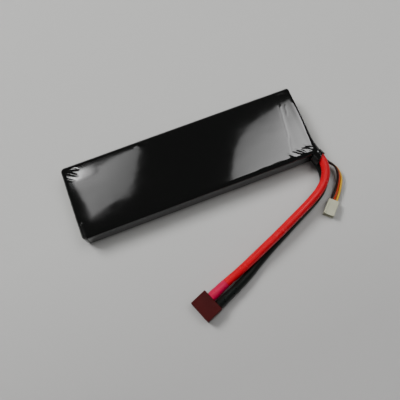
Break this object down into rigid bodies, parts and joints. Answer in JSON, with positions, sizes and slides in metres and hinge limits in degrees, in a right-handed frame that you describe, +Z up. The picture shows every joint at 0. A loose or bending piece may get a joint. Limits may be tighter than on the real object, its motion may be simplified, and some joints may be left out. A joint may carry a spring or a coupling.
{
  "type": "lipo battery pack",
  "caption": "Flat film-wrapped LiPo battery pack for radio control models, with thick power leads to a T-shaped plug and a thin balance lead.",
  "frame": {"origin": "middle of the pack's underside, on the surface it rests on", "axes": "+X along the pack towards the end where the leads come out, +Y away from the side the leads lie on, +Z up through the pack's thickness"},
  "size_m": [0.1701, 0.1235, 0.0145],
  "materials": {
    "wrap_film": "glossy shrunk film, faintly wrinkled",
    "fibre_card": "matte pressed fibre",
    "pouch_foil": "satin laminated foil",
    "foam_tape": "matte closed-cell foam",
    "amber_tape": "glossy polyimide film",
    "aluminium_tab": "brushed foil",
    "nickel_tab": "satin nickel plate",
    "seal_film": "translucent film",
    "board_laminate": "satin solder mask",
    "copper_pad": "satin copper",
    "red_silicone": "soft satin silicone",
    "black_silicone": "soft satin silicone",
    "tinned_copper": "tinned strands",
    "solder": "bright solder",
    "pink_sleeve": "satin shrunk sleeve",
    "black_sleeve": "satin shrunk sleeve",
    "maroon_nylon": "satin moulded nylon",
    "gold_plate": "bright gold plate",
    "spring_steel": "satin spring steel",
    "black_wire": "satin insulation",
    "red_wire": "satin insulation",
    "yellow_wire": "satin insulation",
    "ivory_nylon": "natural moulded nylon",
    "tinned_brass": "tin plate"
  },
  "bodies": {
    "root": {"outer_wrap": "wrap_film", "tail_card": "fibre_card", "front_card": "fibre_card", "lower_cell": "pouch_foil", "upper_cell": "pouch_foil", "cell_tape": "foam_tape", "rear_tape_band": "amber_tape", "front_tape_band": "amber_tape", "upper_positive_tab": "aluminium_tab", "upper_negative_tab": "nickel_tab", "lower_positive_tab": "aluminium_tab", "lower_negative_tab": "nickel_tab", "tab_seal_films": "seal_film", "tab_board": "board_laminate", "board_pads": "copper_pad", "terrace_foam": "foam_tape", "red_main_lead": "red_silicone", "black_main_lead": "black_silicone", "red_lead_conductor": "tinned_copper", "black_lead_conductor": "tinned_copper", "red_lead_joint": "solder", "black_lead_joint": "solder", "balance_joints": "solder", "red_heatshrink": "pink_sleeve", "black_heatshrink": "black_sleeve", "plug_housing": "maroon_nylon", "plug_positive_contact": "gold_plate", "plug_negative_contact": "gold_plate", "plug_contact_springs": "spring_steel", "plug_solder_joints": "solder", "balance_wire_black": "black_wire", "balance_wire_red": "red_wire", "balance_wire_yellow": "yellow_wire", "balance_housing": "ivory_nylon", "balance_terminals": "tinned_brass"}
  },
  "joints": []
}
